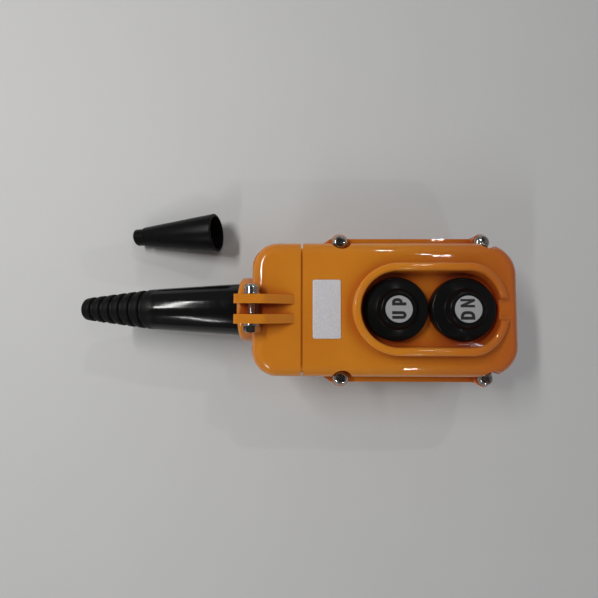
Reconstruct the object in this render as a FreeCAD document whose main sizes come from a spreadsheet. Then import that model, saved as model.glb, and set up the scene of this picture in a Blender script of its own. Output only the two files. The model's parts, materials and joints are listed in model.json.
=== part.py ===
import FreeCAD, Part
import math
import os

import Sketcher

# Hoist pendant with two pushbuttons, lying on its back.
# +X runs from the cable boot to the far end, +Y across the case and +Z out of the front.
# The origin is the middle of the case's flat back. All sizes are in millimetres.

SIZES = {
    # case
    "case_length": 131.0, "case_width": 66.5, "case_height": 48.0, "part_line": 30.0, "wall": 2.8,
    "end_corner": 16.0, "hood_corner": 13.0, "front_edge": 7.0, "inner_edge": 3.0, "back_edge": 5.0,
    "hood_length": 24.5, "seam": 1.0, "sill_height": 4.0,
    # flange, lugs and cover screws
    "flange_width": 75.0, "flange_thick": 3.5, "flange_ramp": 9.0, "flange_tail": 2.5,
    "screw_near": 44.6, "screw_pitch": 72.9, "screw_spread": 69.2, "lug_radius": 4.5,
    "lug_height": 7.0, "lug_depth": 18.0, "notch_radius": 5.2, "tower_reach": 7.4,
    "tower_round": 1.5, "screw_radius": 1.95, "screw_length": 23.0, "head_radius": 3.9, "head_height": 2.9,
    "recess_width": 1.0,
    "thread_gap": 0.1, "hole_gap": 0.3, "hole_end": 0.5,
    # gasket
    "gasket_width": 1.2, "gasket_thick": 1.2, "gasket_inset": 0.8,
    # guard and well
    "guard_radius": 21.5, "guard_wall": 3.8, "guard_rise": 7.5, "guard_round": 1.5,
    "guard_foot": 1.0, "guard_foot_height": 0.8, "well_depth": 3.0,
    "droop_length": 16.0, "droop_depth": 5.5, "droop_bend": 20.0,
    "drain_floor": 9.0, "drain_mouth": 15.5, "drain_depth": 0.4, "drain_round": 2.0,
    # buttons
    "button_pitch": 32.0, "button_middle": 20.5,
    "boot_radius": 15.3, "boot_lip": 4.3, "boot_wall": 1.3, "boot_hole": 12.2, "boot_gap": 0.2,
    "boot_grip": 1.5, "boot_seat": 13.8, "shoulder_radius": 11.4, "shoulder_height": 5.4, "cap_radius": 9.8,
    "cap_edge": 7.9, "button_height": 8.5, "legend_radius": 6.3, "legend_thick": 0.9, "legend_gap": 0.2,
    "plunger_radius": 4.2, "plunger_head": 7.6, "plunger_head_thick": 2.0, "stem_radius": 2.2,
    "collar_radius": 6.0, "collar_thick": 1.5, "stem_rise": 0.5, "slide_gap": 0.15, "rest_gap": 0.05,
    # button guide plate
    "guide_radius": 20.6, "guide_thick": 2.5, "guide_screw_reach": 16.8, "guide_screw_spread": 26.0,
    "guide_post": 3.2, "small_screw": 1.45, "small_head": 2.7, "small_head_height": 1.9,
    "guide_screw_length": 5.4,
    # contact block
    "block_length": 59.0, "block_width": 44.0, "block_corner": 3.0, "block_floor": 8.0, "block_thick": 3.0,
    "pad_height": 3.2, "pad_width": 9.0, "pad_start": 7.0, "barrier_thick": 2.0, "barrier_height": 9.0,
    "well_wall": 2.2, "tube_drop": 4.6, "tube_rise": 2.5, "tube_floor": 1.0,
    "block_screw_x": 51.0, "block_screw_y": 36.0, "post_radius": 3.6, "block_screw_length": 7.0,
    "strip_thick": 1.0, "strip_width": 7.0, "strip_start": 8.0, "strip_end": 20.5,
    "tip_radius": 2.0, "tip_height": 0.6, "tip_offset": 10.0, "terminal_offset": 16.5,
    "terminal_radius": 1.7, "terminal_head": 3.2, "terminal_head_height": 2.2, "terminal_length": 6.0,
    "bridge_length": 24.4, "bridge_width": 7.0, "bridge_thick": 1.0, "contact_travel": 3.0,
    "clip_radius": 3.7, "clip_thick": 0.8, "clip_mouth": 2.4,
    "contact_coil": 3.3, "contact_wire": 0.4, "contact_turns": 5.0,
    "return_coil": 1.85, "return_wire": 0.25, "return_turns": 5.0, "wire_sides": 8.0,
    # cable entry
    "entry_height": 27.0, "collar_outer": 17.3, "collar_length": 7.5, "collar_round": 2.0, "entry_gap": 0.2,
    "sleeve_length": 85.8, "sleeve_root": 14.15, "sleeve_mid": 10.65, "sleeve_tip": 5.85,
    "rib_zone": 33.6, "rib_count": 6.0, "rib_groove": 1.1, "rib_gap": 1.6, "rib_round": 1.0,
    "nose_length": 6.0, "nose_round": 1.5, "sleeve_blend": 8.0,
    "sleeve_bore": 4.0, "sleeve_throat": 10.0, "sleeve_wall": 2.7, "sleeve_flange": 16.2,
    "sleeve_flange_thick": 2.5,
    # hanger
    "ear_gap": 5.0, "ear_thick": 4.3, "ear_crest": 5.0, "ear_sink": 2.3, "ear_lap": 1.0,
    "ear_flat": 14.2, "ear_slope": 13.8, "ear_round": 1.5,
    "bolt_rise": 3.0, "bolt_setback": 1.5, "washer_gap": 0.3,
    "bolt_radius": 2.0, "bolt_length": 20.0, "bolt_head_radius": 3.9, "bolt_head_height": 3.1,
    "washer_radius": 4.0, "washer_thick": 1.0, "lock_radius": 3.6, "lock_thick": 1.1, "lock_gap": 1.0,
    "nut_flats": 7.0, "nut_height": 3.2,
    # cable clamp
    "clamp_x": 26.0, "clamp_width": 9.0, "clamp_thick": 1.5, "clamp_bore": 6.0, "clamp_axis": 16.5,
    "clamp_spread": 24.0, "clamp_foot": 9.0, "clamp_corner": 1.5, "clamp_seat": 12.0,
    "clamp_screw_length": 9.5,
    # nameplate
    "plate_length": 13.6, "plate_width": 28.4, "plate_thick": 0.4, "plate_corner": 1.0, "plate_x": 28.5,
    # loose sleeve
    "spare_length": 52.0, "spare_mouth": 11.4, "spare_neck": 5.9, "spare_nozzle": 5.1,
    "spare_nozzle_length": 6.0, "spare_wall": 1.5, "spare_bore": 3.6, "spare_x": 92.2, "spare_y": 46.7,
    "spare_turn": 1.6,
}


class Size:
    """A length that knows its number and the spreadsheet formula that gives it."""

    def __init__(self, number, formula):
        self.number = float(number)
        self.formula = formula

    @staticmethod
    def of(value):
        return value if isinstance(value, Size) else Size(value, repr(float(value)))

    def join(self, sign, other, number):
        return Size(number, f"({self.formula} {sign} {other.formula})")

    def __add__(self, other):
        other = Size.of(other)
        return self.join("+", other, self.number + other.number)

    def __sub__(self, other):
        other = Size.of(other)
        return self.join("-", other, self.number - other.number)

    def __mul__(self, other):
        other = Size.of(other)
        return self.join("*", other, self.number * other.number)

    def __truediv__(self, other):
        other = Size.of(other)
        return self.join("/", other, self.number / other.number)

    def __radd__(self, other):
        return Size.of(other) + self

    def __rsub__(self, other):
        return Size.of(other) - self

    def __rmul__(self, other):
        return Size.of(other) * self

    def __neg__(self):
        return Size(-self.number, f"(-{self.formula})")


def highest(first, second):
    """The larger of two lengths."""
    return Size(max(first.number, second.number), f"max({first.formula}; {second.formula})")


def make_sheet(document):
    """Writes the driving dimensions into a sheet and returns them as Size values."""
    sheet = document.addObject("Spreadsheet::Sheet", "Sizes")
    found = {}
    for row, (alias, number) in enumerate(SIZES.items(), start=1):
        sheet.set(f"A{row}", alias.replace("_", " "))
        sheet.set(f"B{row}", str(number))
        sheet.setAlias(f"B{row}", alias)
        found[alias] = Size(number, f"Sizes.{alias}")
    document.recompute()
    return type("Sheet", (), found)


doc = FreeCAD.newDocument("pendant_switch")
S = make_sheet(doc)
ORIGIN = Size(0, "0")

# Places that several pieces share
half_length = S.case_length / 2
half_width = S.case_width / 2
seam_hood = S.hood_length - half_length
cover_start = seam_hood + S.seam
screw_first = S.screw_near - half_length
screw_last = screw_first + S.screw_pitch
screw_side = S.screw_spread / 2
lug_top = S.part_line + S.lug_height
up_x = S.button_middle - S.button_pitch / 2
down_x = S.button_middle + S.button_pitch / 2
guard_inner = S.guard_radius - S.guard_wall
guard_top = S.case_height + S.guard_rise
droop_start = down_x + S.guard_radius - S.droop_length
well_floor = S.case_height - S.well_depth
dish_under = well_floor - S.wall
guide_top = dish_under - S.boot_grip
guide_under = guide_top - S.guide_thick
button_top = well_floor + S.button_height
legend_seat = button_top - S.legend_thick
plunger_top = legend_seat - S.boot_wall
collar_top = guide_under - S.rest_gap
collar_under = collar_top - S.collar_thick
block_top = S.block_floor + S.block_thick
stem_end = block_top + S.stem_rise
strip_under = block_top + S.pad_height
strip_top = strip_under + S.strip_thick
bridge_under = strip_top + S.tip_height * 2 + S.contact_travel + S.rest_gap
bridge_top = bridge_under + S.bridge_thick
tube_base = S.block_floor - S.tube_drop
bolt_x = S.bolt_setback - half_length
collar_crest = S.entry_height + S.collar_outer
bolt_height = highest(S.case_height + S.bolt_rise, collar_crest + S.washer_radius + S.washer_gap)
ear_top = bolt_height + S.ear_crest
ear_root = collar_crest - S.ear_sink
ear_outer = S.ear_gap / 2 + S.ear_thick
ear_start = S.ear_lap - half_length - S.collar_length
gasket_under = S.part_line - S.gasket_thick
clamp_x = -S.clamp_x


# Sketches

def plane_of(body, role):
    return [feature for feature in body.Origin.OriginFeatures if feature.Role == role][0]


def new_body(name):
    body = doc.addObject("PartDesign::Body", name)
    body.Label = name
    return body


def new_sketch(body, name, role="XY_Plane", offset=ORIGIN):
    """A sketch on one of the body's own planes, moved along the plane's normal by an offset."""
    sketch = body.newObject("Sketcher::SketchObject", name)
    sketch.AttachmentSupport = [(plane_of(body, role), "")]
    sketch.MapMode = "FlatFace"
    sketch.AttachmentOffset = FreeCAD.Placement(FreeCAD.Vector(0, 0, offset.number), FreeCAD.Rotation())
    sketch.setExpression("AttachmentOffset.Base.z", offset.formula)
    return sketch


def bind(sketch, kind, geometry, point, size):
    """Ties one coordinate of a point to a size, or puts the point on the axis where the size is nothing."""
    if size.formula == ORIGIN.formula:
        axis = -2 if kind == "DistanceX" else -1
        sketch.addConstraint(Sketcher.Constraint("PointOnObject", geometry, point, axis))
        return
    index = sketch.addConstraint(Sketcher.Constraint(kind, -1, 1, geometry, point, size.number))
    name = f"size_{index}"
    sketch.renameConstraint(index, name)
    sketch.setExpression(f"Constraints.{name}", size.formula)


def bind_point(sketch, geometry, point, x, y):
    bind(sketch, "DistanceX", geometry, point, x)
    bind(sketch, "DistanceY", geometry, point, y)


def bind_radius(sketch, geometry, radius):
    index = sketch.addConstraint(Sketcher.Constraint("Radius", geometry, radius.number))
    name = f"radius_{index}"
    sketch.renameConstraint(index, name)
    sketch.setExpression(f"Constraints.{name}", radius.formula)


def circle(sketch, x, y, radius):
    x, y, radius = Size.of(x), Size.of(y), Size.of(radius)
    centre = FreeCAD.Vector(x.number, y.number, 0)
    index = sketch.addGeometry(Part.Circle(centre, FreeCAD.Vector(0, 0, 1), radius.number), False)
    bind_point(sketch, index, 3, x, y)
    bind_radius(sketch, index, radius)


def corner_arc(before, corner, after, radius):
    """The tangent points and the middle of the arc that rounds a corner."""
    to_before = (before - corner).normalize()
    to_after = (after - corner).normalize()
    half = to_before.getAngle(to_after) / 2
    reach = radius / math.tan(half)
    middle = corner + (to_before + to_after).normalize() * (radius / math.sin(half))
    start = corner + to_before * reach
    end = corner + to_after * reach
    bulge = middle + (corner - middle).normalize() * radius
    return start, bulge, end


def outline(sketch, corners):
    """A closed loop through corners (x, y), or (x, y, radius) where the corner is rounded."""
    corners = [tuple(Size.of(value) for value in corner) for corner in corners]
    spots = [FreeCAD.Vector(corner[0].number, corner[1].number, 0) for corner in corners]
    count = len(corners)
    arcs = {}
    for i, corner in enumerate(corners):
        if len(corner) == 3:
            arcs[i] = corner_arc(spots[i - 1], spots[i], spots[(i + 1) % count], corner[2].number)
    lines = []
    for i in range(count):
        j = (i + 1) % count
        start = arcs[i][2] if i in arcs else spots[i]
        end = arcs[j][0] if j in arcs else spots[j]
        lines.append(sketch.addGeometry(Part.LineSegment(start, end), False))
    for i, (x, y, *radius) in enumerate(corners):
        before, after = lines[i - 1], lines[i]
        if i not in arcs:
            sketch.addConstraint(Sketcher.Constraint("Coincident", before, 2, after, 1))
            bind_point(sketch, after, 1, x, y)
            continue
        arc = sketch.addGeometry(Part.Arc(*arcs[i]), False)
        turns_left = (spots[i] - spots[i - 1]).cross(spots[(i + 1) % count] - spots[i]).z > 0
        first, last = (1, 2) if turns_left else (2, 1)
        sketch.addConstraint(Sketcher.Constraint("Tangent", before, 2, arc, first))
        sketch.addConstraint(Sketcher.Constraint("Tangent", arc, last, after, 1))
        bind_radius(sketch, arc, radius[0])
        tip = sketch.addGeometry(Part.Point(spots[i]), True)
        sketch.addConstraint(Sketcher.Constraint("PointOnObject", tip, 1, before))
        sketch.addConstraint(Sketcher.Constraint("PointOnObject", tip, 1, after))
        bind_point(sketch, tip, 1, x, y)


def mirrored(half):
    """The corners of a loop whose upper half is given from left to right."""
    lower = [(corner[0], -Size.of(corner[1]), *corner[2:]) for corner in half]
    return lower + half[::-1]


def slit(radius, width):
    """The corners of a cut from the middle of a ring out through its wall."""
    reach, half = radius * 1.2, width / 2
    return [(ORIGIN, -half), (reach, -half), (reach, half), (ORIGIN, half)]


def stadium(sketch, first, last, radius):
    """Two half circles of one radius on the X axis, joined by straight sides."""
    x1, x2, r = first.number, last.number, radius.number
    up, flat = FreeCAD.Vector(0, r, 0), FreeCAD.Vector(r, 0, 0)
    left, right = FreeCAD.Vector(x1, 0, 0), FreeCAD.Vector(x2, 0, 0)
    top = sketch.addGeometry(Part.LineSegment(right + up, left + up), False)
    near = sketch.addGeometry(Part.Arc(left + up, left - flat, left - up), False)
    bottom = sketch.addGeometry(Part.LineSegment(left - up, right - up), False)
    far = sketch.addGeometry(Part.Arc(right - up, right + flat, right + up), False)
    for one, other in ((top, near), (near, bottom), (bottom, far), (far, top)):
        sketch.addConstraint(Sketcher.Constraint("Tangent", one, 2, other, 1))
    bind_radius(sketch, near, radius)
    bind_point(sketch, near, 3, first, ORIGIN)
    bind_point(sketch, far, 3, last, ORIGIN)


# Features

def extrude(kind, body, sketch, length, reverse=False, both_ways=False):
    feature = body.newObject(f"PartDesign::{kind}", f"{sketch.Name}_{kind.lower()}")
    feature.Profile = sketch
    feature.Type = 0
    if both_ways:
        feature.SideType = "Symmetric"
    feature.Length = length.number
    feature.setExpression("Length", length.formula)
    feature.Reversed = reverse
    doc.recompute()
    return feature


def pad(body, sketch, length, **ways):
    return extrude("Pad", body, sketch, Size.of(length), **ways)


def pocket(body, sketch, length, **ways):
    """Cuts a sketch out of the body and checks that the cut removed something."""
    before = body.Tip.Shape.Volume
    feature = extrude("Pocket", body, sketch, Size.of(length), **ways)
    if feature.Shape.Volume > before - 1e-6:
        raise RuntimeError(f"{feature.Name} cut nothing")
    return feature


def revolve(body, sketch, axis="V_Axis", kind="Revolution"):
    feature = body.newObject(f"PartDesign::{kind}", f"{sketch.Name}_{kind.lower()}")
    feature.Profile = sketch
    feature.ReferenceAxis = (sketch, [axis])
    feature.Angle = 360
    doc.recompute()
    return feature


def edges_of(shape, wanted):
    return [f"Edge{i}" for i, edge in enumerate(shape.Edges, start=1) if wanted(edge)]


def dress(kind, body, radius, wanted):
    """A fillet or chamfer on the edges of the body's tip that a test picks."""
    base = body.Tip
    names = edges_of(base.Shape, wanted)
    if not names:
        raise RuntimeError(f"{body.Label} has no edge for this {kind}")
    feature = body.newObject(f"PartDesign::{kind}", f"{base.Name}_{kind.lower()}")
    feature.Base = (base, names)
    slot = "Radius" if kind == "Fillet" else "Size"
    radius = Size.of(radius)
    setattr(feature, slot, radius.number)
    feature.setExpression(slot, radius.formula)
    doc.recompute()
    return feature


def fillet(body, radius, wanted):
    return dress("Fillet", body, radius, wanted)


def chamfer(body, size, wanted):
    return dress("Chamfer", body, size, wanted)


def place(thing, x=ORIGIN, y=ORIGIN, z=ORIGIN, rotation=None):
    """Puts a piece at a place that follows the sheet."""
    x, y, z = Size.of(x), Size.of(y), Size.of(z)
    rotation = rotation or FreeCAD.Rotation()
    thing.Placement = FreeCAD.Placement(FreeCAD.Vector(x.number, y.number, z.number), rotation)
    for axis, size in (("x", x), ("y", y), ("z", z)):
        thing.setExpression(f"Placement.Base.{axis}", size.formula)
    return thing


def near(value, size, margin=0.01):
    return abs(value - Size.of(size).number) < margin


def level(edge, size):
    """True for an edge that lies flat at a height."""
    box = edge.BoundBox
    return near(box.ZMin, size) and near(box.ZMax, size)


PIECES = []


def keep(piece, name):
    """Marks a finished sub-part, which is written to its own file."""
    piece.Label = name
    PIECES.append((name, piece))
    return piece


def group(name, master, spots):
    """Copies of one piece at several spots, kept as one sub-part."""
    copies = []
    for i, (x, y, z) in enumerate(spots, start=1):
        copy = doc.addObject("App::Link", f"{name}_copy_{i}")
        copy.LinkedObject = master
        place(copy, x, y, z, master.Placement.Rotation)
        copies.append(copy)
    compound = doc.addObject("Part::Compound", name)
    compound.Links = copies
    doc.recompute()
    return keep(compound, name)


# Outlines that the case's pieces share

def case_outline(start, end, side, near_radius, far_radius):
    near_corner = (start, side, near_radius) if near_radius else (start, side)
    return mirrored([near_corner, (end, side, far_radius)])


def flange_strip(side):
    """The ledge beside the case that joins its two lugs."""
    inner = half_width - S.wall * 0.6
    outer = S.flange_width / 2
    start = screw_first - S.lug_radius
    end = screw_last + S.flange_tail
    strip = [
        (start - S.flange_ramp, inner * side), (start, outer * side), (end, outer * side),
        (end + S.flange_tail, (half_width - S.wall * 0.75) * side),
    ]
    return strip if side > 0 else strip[::-1]


def screw_spots():
    return [(x, screw_side * side) for x in (screw_first, screw_last) for side in (-1, 1)]


# Case

def cover_outline(inset):
    """The front cover's rim moved inwards by an inset."""
    end = half_length - inset
    return case_outline(cover_start + inset, end, half_width - inset, None, S.end_corner - inset)


def front_rim(start):
    """A test for the edges round the front face, apart from the one at the seam."""
    return lambda edge: level(edge, S.case_height) and not near(edge.CenterOfMass.x, start)


def add_flange(body, bottom):
    """The two ledges along the sides, from a bottom height up."""
    for side in (-1, 1):
        strip = new_sketch(body, f"ledge_{'left' if side > 0 else 'right'}", offset=bottom)
        outline(strip, flange_strip(side))
        pad(body, strip, S.flange_thick)


def add_cylinders(body, name, spots, radius, bottom, height):
    sketch = new_sketch(body, name, offset=Size.of(bottom))
    for x, y in spots:
        circle(sketch, x, y, radius)
    return pad(body, sketch, height)


def cut_holes(body, name, spots, radius, top, depth, reverse=False):
    """Round holes from a top height down, or up where reversed."""
    sketch = new_sketch(body, name, offset=Size.of(top))
    for x, y in spots:
        circle(sketch, x, y, radius)
    return pocket(body, sketch, depth, reverse=reverse)


def make_rear_case():
    """The back shell with the closed hood, the cable collar and the two hanger ears."""
    body = new_body("rear_case")
    tray = new_sketch(body, "tray")
    outline(tray, case_outline(-half_length, half_length, half_width, S.hood_corner, S.end_corner))
    pad(body, tray, S.part_line)
    hood = new_sketch(body, "hood", offset=S.part_line)
    outline(hood, mirrored([(-half_length, half_width, S.hood_corner), (seam_hood, half_width)]))
    pad(body, hood, S.case_height - S.part_line)
    fillet(body, S.front_edge, front_rim(seam_hood))
    fillet(body, S.back_edge, lambda edge: level(edge, 0))
    hollow_rear_case(body)
    add_flange(body, S.part_line - S.flange_thick)
    add_cylinders(body, "lugs", screw_spots(), S.lug_radius, S.part_line - S.lug_depth, S.lug_depth)
    add_collar(body)
    add_ears(body)
    cut_holes(body, "cover_screw_holes", screw_spots(), S.screw_radius + S.thread_gap, S.part_line,
              S.screw_length - S.lug_height + S.hole_end)
    groove = new_sketch(body, "gasket_groove", offset=S.part_line)
    outline(groove, cover_outline(S.gasket_inset))
    outline(groove, cover_outline(S.gasket_inset + S.gasket_width))
    pocket(body, groove, S.gasket_thick)
    add_block_posts(body)
    add_cable_saddle(body)
    return keep(body, "rear_case")


def hollow_rear_case(body):
    """Opens the tray from the front, the hood from inside, and the way between them below the sill."""
    inner = half_width - S.wall
    tray = new_sketch(body, "tray_room", offset=S.part_line)
    outline(tray, cover_outline(S.wall))
    pocket(body, tray, S.part_line - S.wall)
    hood = new_sketch(body, "hood_room", offset=S.wall)
    corner = (S.wall - half_length, inner, S.hood_corner - S.wall)
    outline(hood, mirrored([corner, (seam_hood - S.wall, inner)]))
    pocket(body, hood, S.case_height - S.wall * 2, reverse=True)
    fillet(body, S.inner_edge, lambda edge: level(edge, S.case_height - S.wall))
    passage = new_sketch(body, "passage", offset=S.wall)
    outline(passage, mirrored([(seam_hood - S.wall * 1.5, inner), (cover_start + S.wall * 1.5, inner)]))
    pocket(body, passage, S.part_line - S.sill_height - S.wall, reverse=True)


def add_collar(body):
    """The round socket that the cable boot comes out of."""
    collar = new_sketch(body, "collar", role="YZ_Plane", offset=-half_length - S.collar_length)
    circle(collar, ORIGIN, S.entry_height, S.collar_outer)
    pad(body, collar, S.collar_length + S.wall * 0.9)
    fillet(body, S.collar_round, lambda edge: near(edge.BoundBox.XMax, -half_length - S.collar_length))


def add_ears(body):
    """Two ears over the collar, sloping down onto the hood, with a cross hole for the hanger bolt."""
    slope_start = ear_start + S.ear_flat
    slope_end = slope_start + S.ear_slope
    root = S.case_height - S.wall * 0.5
    profile = [
        (ear_start, ear_root), (S.wall - half_length, ear_root), (S.wall - half_length, root),
        (slope_end, root), (slope_end, S.case_height), (slope_start, ear_top, S.ear_slope * 0.4),
        (ear_start, ear_top, S.ear_round),
    ]
    for side in (-1, 1):
        ear = new_sketch(body, f"ear_{'left' if side > 0 else 'right'}", role="XZ_Plane",
                         offset=-(S.ear_gap / 2 + S.ear_thick / 2) * side - S.ear_thick / 2)
        outline(ear, profile)
        pad(body, ear, S.ear_thick)
    cross = new_sketch(body, "bolt_cross_hole", role="XZ_Plane", offset=-ear_outer)
    circle(cross, bolt_x, bolt_height, S.bolt_radius + S.hole_gap)
    pocket(body, cross, ear_outer * 2, reverse=True)
    entry = new_sketch(body, "cable_entry", role="YZ_Plane", offset=-half_length - S.collar_length)
    circle(entry, ORIGIN, S.entry_height, S.sleeve_root + S.entry_gap)
    pocket(body, entry, S.collar_length + S.wall, reverse=True)


def block_screw_spots():
    x, y = S.block_screw_x / 2, S.block_screw_y / 2
    return [(S.button_middle + x * i, y * j) for i in (-1, 1) for j in (-1, 1)]


def add_block_posts(body):
    """Four posts that carry the contact block."""
    spots = block_screw_spots()
    add_cylinders(body, "block_posts", spots, S.post_radius, S.wall * 0.9, S.block_floor - S.wall * 0.9)
    cut_holes(body, "block_screw_holes", spots, S.small_screw + S.thread_gap, S.block_floor,
              S.block_screw_length - S.block_thick + S.hole_end)


def clamp_screw_spots():
    return [(clamp_x, S.clamp_spread / 2 * side) for side in (-1, 1)]


def clamp_outline():
    """The plan of the clamp's foot and of the block under it."""
    reach = S.clamp_spread / 2 + S.clamp_foot / 2
    half = S.clamp_width / 2
    return mirrored([(clamp_x - half, reach, S.clamp_corner), (clamp_x + half, reach, S.clamp_corner)])


def add_cable_saddle(body):
    """A cross block with a round channel for the cable and two screw holes for its clamp."""
    saddle = new_sketch(body, "saddle", offset=S.wall * 0.9)
    outline(saddle, clamp_outline())
    pad(body, saddle, S.clamp_seat - S.wall * 0.9)
    channel = new_sketch(body, "saddle_channel", role="YZ_Plane", offset=clamp_x - S.clamp_width / 2)
    circle(channel, ORIGIN, S.clamp_axis, S.clamp_bore)
    pocket(body, channel, S.clamp_width, reverse=True)
    cut_holes(body, "clamp_screw_holes", clamp_screw_spots(), S.small_screw + S.thread_gap, S.clamp_seat,
              S.clamp_screw_length - S.clamp_thick + S.hole_end)


def cover_room():
    """The inside of the cover, which leaves a tower of plastic round each screw notch."""
    inner = half_width - S.wall
    tower = screw_side - S.tower_reach
    start, end = screw_first - S.tower_reach, screw_first + S.tower_reach
    last_start = screw_last - S.tower_reach
    return mirrored([
        (cover_start + S.wall, inner),
        (start, inner), (start, tower, S.tower_round), (end, tower, S.tower_round), (end, inner),
        (last_start, inner), (last_start, tower, S.tower_round),
        (half_length - S.wall, tower, S.end_corner - S.wall * 2),
    ])


def make_front_cover():
    """The front shell with its screw notches, the guard round the buttons and the sunk well inside it."""
    body = new_body("front_cover")
    shell = new_sketch(body, "shell", offset=S.part_line)
    outline(shell, cover_outline(ORIGIN))
    pad(body, shell, S.case_height - S.part_line)
    fillet(body, S.front_edge, front_rim(cover_start))
    room = new_sketch(body, "cover_room", offset=S.part_line)
    outline(room, cover_room())
    pocket(body, room, S.case_height - S.wall - S.part_line, reverse=True)
    fillet(body, S.inner_edge, lambda edge: level(edge, S.case_height - S.wall))
    add_flange(body, S.part_line)
    add_cylinders(body, "lugs", screw_spots(), S.lug_radius, S.part_line, S.lug_height)
    add_guard(body)
    spots = screw_spots()
    cut_holes(body, "screw_notches", spots, S.notch_radius, S.case_height, S.case_height - lug_top)
    cut_holes(body, "cover_screw_ways", spots, S.screw_radius + S.hole_gap, lug_top, S.lug_height)
    cut_holes(body, "button_holes", [(up_x, ORIGIN), (down_x, ORIGIN)], S.boot_hole, well_floor, S.wall)
    spots = guide_screw_spots()
    add_cylinders(body, "guide_posts", spots, S.guide_post, guide_top, S.boot_grip + S.wall * 0.1)
    cut_holes(body, "guide_screw_holes", spots, S.small_screw + S.thread_gap, guide_top,
              S.guide_screw_length - S.guide_thick + S.hole_end * 0.4, reverse=True)
    return keep(body, "front_cover")


def add_guard(body):
    """The raised rim round both buttons, its foot, the sunk well and the drain at the far end."""
    dish = new_sketch(body, "dish", offset=dish_under)
    stadium(dish, up_x, down_x, S.guard_radius)
    pad(body, dish, guard_top - dish_under)
    foot = new_sketch(body, "guard_foot", offset=S.case_height - S.wall / 2)
    stadium(foot, up_x, down_x, S.guard_radius + S.guard_foot)
    pad(body, foot, S.guard_foot_height + S.wall / 2)
    well = new_sketch(body, "well", offset=guard_top)
    stadium(well, up_x, down_x, guard_inner)
    pocket(body, well, guard_top - well_floor)
    cut_droop(body)
    drain = new_sketch(body, "drain", role="YZ_Plane", offset=down_x)
    side = S.drain_mouth / 2
    floor = S.case_height - S.drain_depth
    outline(drain, [
        (-S.drain_floor / 2, floor, S.drain_round), (S.drain_floor / 2, floor, S.drain_round),
        (side, guard_top + S.wall), (-side, guard_top + S.wall),
    ])
    pocket(body, drain, half_length, reverse=True)
    fillet(body, S.guard_round, on_rim)


def cut_droop(body):
    """Lowers the rim towards the far end, past its outer face so that the cut runs clear."""
    overrun = 1.1
    above = guard_top + S.wall
    droop = new_sketch(body, "droop", role="XZ_Plane")
    start, end = droop_start - S.droop_length, droop_start + S.droop_length * overrun
    lowest = guard_top - S.droop_depth * overrun
    outline(droop, [
        (start, guard_top), (droop_start, guard_top, S.droop_bend), (end, lowest),
        (end, above), (start, above),
    ])
    pocket(body, droop, S.case_width, both_ways=True)


def on_rim(edge):
    """True for an edge of the rim's top, level or on its droop."""
    middle = edge.valueAt((edge.FirstParameter + edge.LastParameter) / 2)
    ramp = max(0, middle.x - droop_start.number) / S.droop_length.number
    return near(middle.z, guard_top - S.droop_depth * ramp, margin=0.4)


def guide_screw_spots():
    ends = [(up_x - S.guide_screw_reach, ORIGIN), (down_x + S.guide_screw_reach, ORIGIN)]
    sides = [(S.button_middle, S.guide_screw_spread / 2 * side) for side in (-1, 1)]
    return ends + sides


def make_gasket():
    body = new_body("case_gasket")
    loop = new_sketch(body, "loop", offset=gasket_under)
    outline(loop, cover_outline(S.gasket_inset))
    outline(loop, cover_outline(S.gasket_inset + S.gasket_width))
    pad(body, loop, S.gasket_thick)
    return keep(body, "case_gasket")


def make_nameplate():
    """A bare plate on the cover."""
    body = new_body("nameplate")
    plate = new_sketch(body, "plate", offset=S.case_height)
    half_x, half_y = S.plate_length / 2, S.plate_width / 2
    start, end = -S.plate_x - half_x, half_x - S.plate_x
    outline(plate, mirrored([(start, half_y, S.plate_corner), (end, half_y, S.plate_corner)]))
    pad(body, plate, S.plate_thick)
    return keep(body, "nameplate")


# Screws

UPSIDE_DOWN = FreeCAD.Rotation(FreeCAD.Vector(1, 0, 0), 180)


def screw_body(name, radius, length, head_radius, head_height):
    """A pan head screw along Z with a cross recess, its head standing on the origin plane."""
    body = new_body(name)
    head = new_sketch(body, "head")
    circle(head, 0, 0, head_radius)
    pad(body, head, head_height)
    fillet(body, head_height * 0.45, lambda edge: level(edge, head_height))
    shank = new_sketch(body, "shank")
    circle(shank, 0, 0, radius)
    pad(body, shank, length, reverse=True)
    chamfer(body, radius * 0.25, lambda edge: level(edge, -length))
    for turn in ("across", "along"):
        half_x, half_y = head_radius * 0.55, S.recess_width / 2
        if turn == "along":
            half_x, half_y = half_y, half_x
        slot = new_sketch(body, f"recess_{turn}", offset=head_height)
        outline(slot, mirrored([(-half_x, half_y), (half_x, half_y)]))
        pocket(body, slot, head_height * 0.5)
    return body


def make_screws(name, radius, length, head_radius, head_height, spots, height, upside_down=False):
    """A set of equal screws, kept as one sub-part."""
    master = screw_body(f"{name}_master", radius, length, head_radius, head_height)
    if upside_down:
        master.Placement = FreeCAD.Placement(FreeCAD.Vector(), UPSIDE_DOWN)
    return group(name, master, [(x, y, height) for x, y in spots])


# Buttons

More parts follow.
